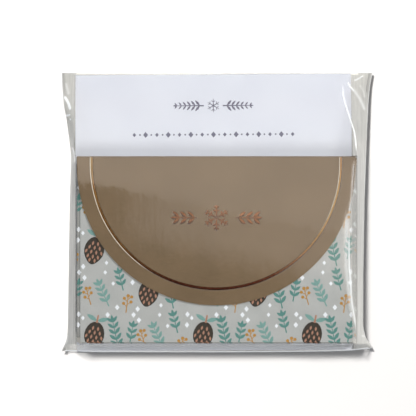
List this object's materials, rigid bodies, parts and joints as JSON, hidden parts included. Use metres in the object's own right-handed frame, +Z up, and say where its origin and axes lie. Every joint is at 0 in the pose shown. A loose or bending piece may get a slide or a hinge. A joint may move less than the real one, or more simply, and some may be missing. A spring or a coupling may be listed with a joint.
{
  "type": "gift card envelope set",
  "caption": "Flat paper pockets for gift cards with half-round foil-trimmed flaps, stacked on a square card in a clear self-seal film bag.",
  "frame": {"origin": "middle of the footprint, on the surface that the bag lies on", "axes": "+Z up through the thickness, +Y to the bag's mouth, +X to the right as the flap is read"},
  "size_m": [0.1186, 0.1066, 0.0093],
  "materials": {
    "clear_film": "clear gloss",
    "adhesive": "clear tacky",
    "white_card": "smooth coated board",
    "pearl_paper": "bronze pearl sheen",
    "printed_paper": "matt printed",
    "copper_foil": "stamped metallic foil"
  },
  "bodies": {
    "bag": {"bag_back_film": "clear_film", "bag_front_film": "clear_film", "bag_left_weld": "clear_film", "bag_right_weld": "clear_film"},
    "lip": {"bag_lip": "clear_film", "lip_adhesive": "adhesive"},
    "insert": {"insert_card": "white_card"},
    "envelope_1": {"envelope_1_back_panel": "printed_paper", "envelope_1_bottom_fold": "printed_paper", "envelope_1_front_panel": "printed_paper", "envelope_1_left_tab": "printed_paper", "envelope_1_right_tab": "printed_paper"},
    "front_spine": {"envelope_1_spine": "pearl_paper"},
    "front_flap": {"envelope_1_flap": "pearl_paper", "envelope_1_foil_border": "copper_foil", "envelope_1_foil_ornament": "copper_foil"},
    "envelope_2": {"envelope_2_back_panel": "printed_paper", "envelope_2_bottom_fold": "printed_paper", "envelope_2_front_panel": "printed_paper", "envelope_2_left_tab": "printed_paper", "envelope_2_right_tab": "printed_paper", "envelope_2_spine": "pearl_paper", "envelope_2_flap": "pearl_paper", "envelope_2_foil_border": "copper_foil", "envelope_2_foil_ornament": "copper_foil"},
    "envelope_3": {"envelope_3_back_panel": "printed_paper", "envelope_3_bottom_fold": "printed_paper", "envelope_3_front_panel": "printed_paper", "envelope_3_left_tab": "printed_paper", "envelope_3_right_tab": "printed_paper", "envelope_3_spine": "pearl_paper", "envelope_3_flap": "pearl_paper", "envelope_3_foil_border": "copper_foil", "envelope_3_foil_ornament": "copper_foil"},
    "envelope_4": {"envelope_4_back_panel": "printed_paper", "envelope_4_bottom_fold": "printed_paper", "envelope_4_front_panel": "printed_paper", "envelope_4_left_tab": "printed_paper", "envelope_4_right_tab": "printed_paper", "envelope_4_spine": "pearl_paper", "envelope_4_flap": "pearl_paper", "envelope_4_foil_border": "copper_foil", "envelope_4_foil_ornament": "copper_foil"}
  },
  "joints": [
    {"name": "lip_fold", "type": "hinge", "parent": "bag", "child": "lip", "pos_m": [0, 0.05315, 0.00015], "axis": [1, 0, 0], "range_deg": [0, 180]},
    {"name": "insert_slide", "type": "slide", "parent": "bag", "child": "insert", "axis": [0, 1, 0], "range_m": [0, 0.11]},
    {"name": "envelope_1_slide", "type": "slide", "parent": "bag", "child": "envelope_1", "axis": [0, 1, 0], "range_m": [0, 0.11], "deforming": ["bag_front_film"]},
    {"name": "envelope_2_slide", "type": "slide", "parent": "bag", "child": "envelope_2", "axis": [0, 1, 0], "range_m": [0, 0.11], "deforming": ["bag_front_film"]},
    {"name": "envelope_3_slide", "type": "slide", "parent": "bag", "child": "envelope_3", "axis": [0, 1, 0], "range_m": [0, 0.11], "deforming": ["bag_front_film"]},
    {"name": "envelope_4_slide", "type": "slide", "parent": "bag", "child": "envelope_4", "axis": [0, 1, 0], "range_m": [0, 0.11], "deforming": ["bag_front_film"]},
    {"name": "spine_fold", "type": "hinge", "parent": "envelope_1", "child": "front_spine", "pos_m": [-0.00027, 0.021, 0.00724], "axis": [-1, 0, 0], "range_deg": [0, 90], "deforming": ["bag_front_film"]},
    {"name": "flap_fold", "type": "hinge", "parent": "front_spine", "child": "front_flap", "pos_m": [-0.00027, 0.021, 0.00885], "axis": [-1, 0, 0], "range_deg": [0, 90]}
  ],
  "couplings": [
    {"joint": "flap_fold", "follows": "spine_fold", "ratio": 1}
  ]
}
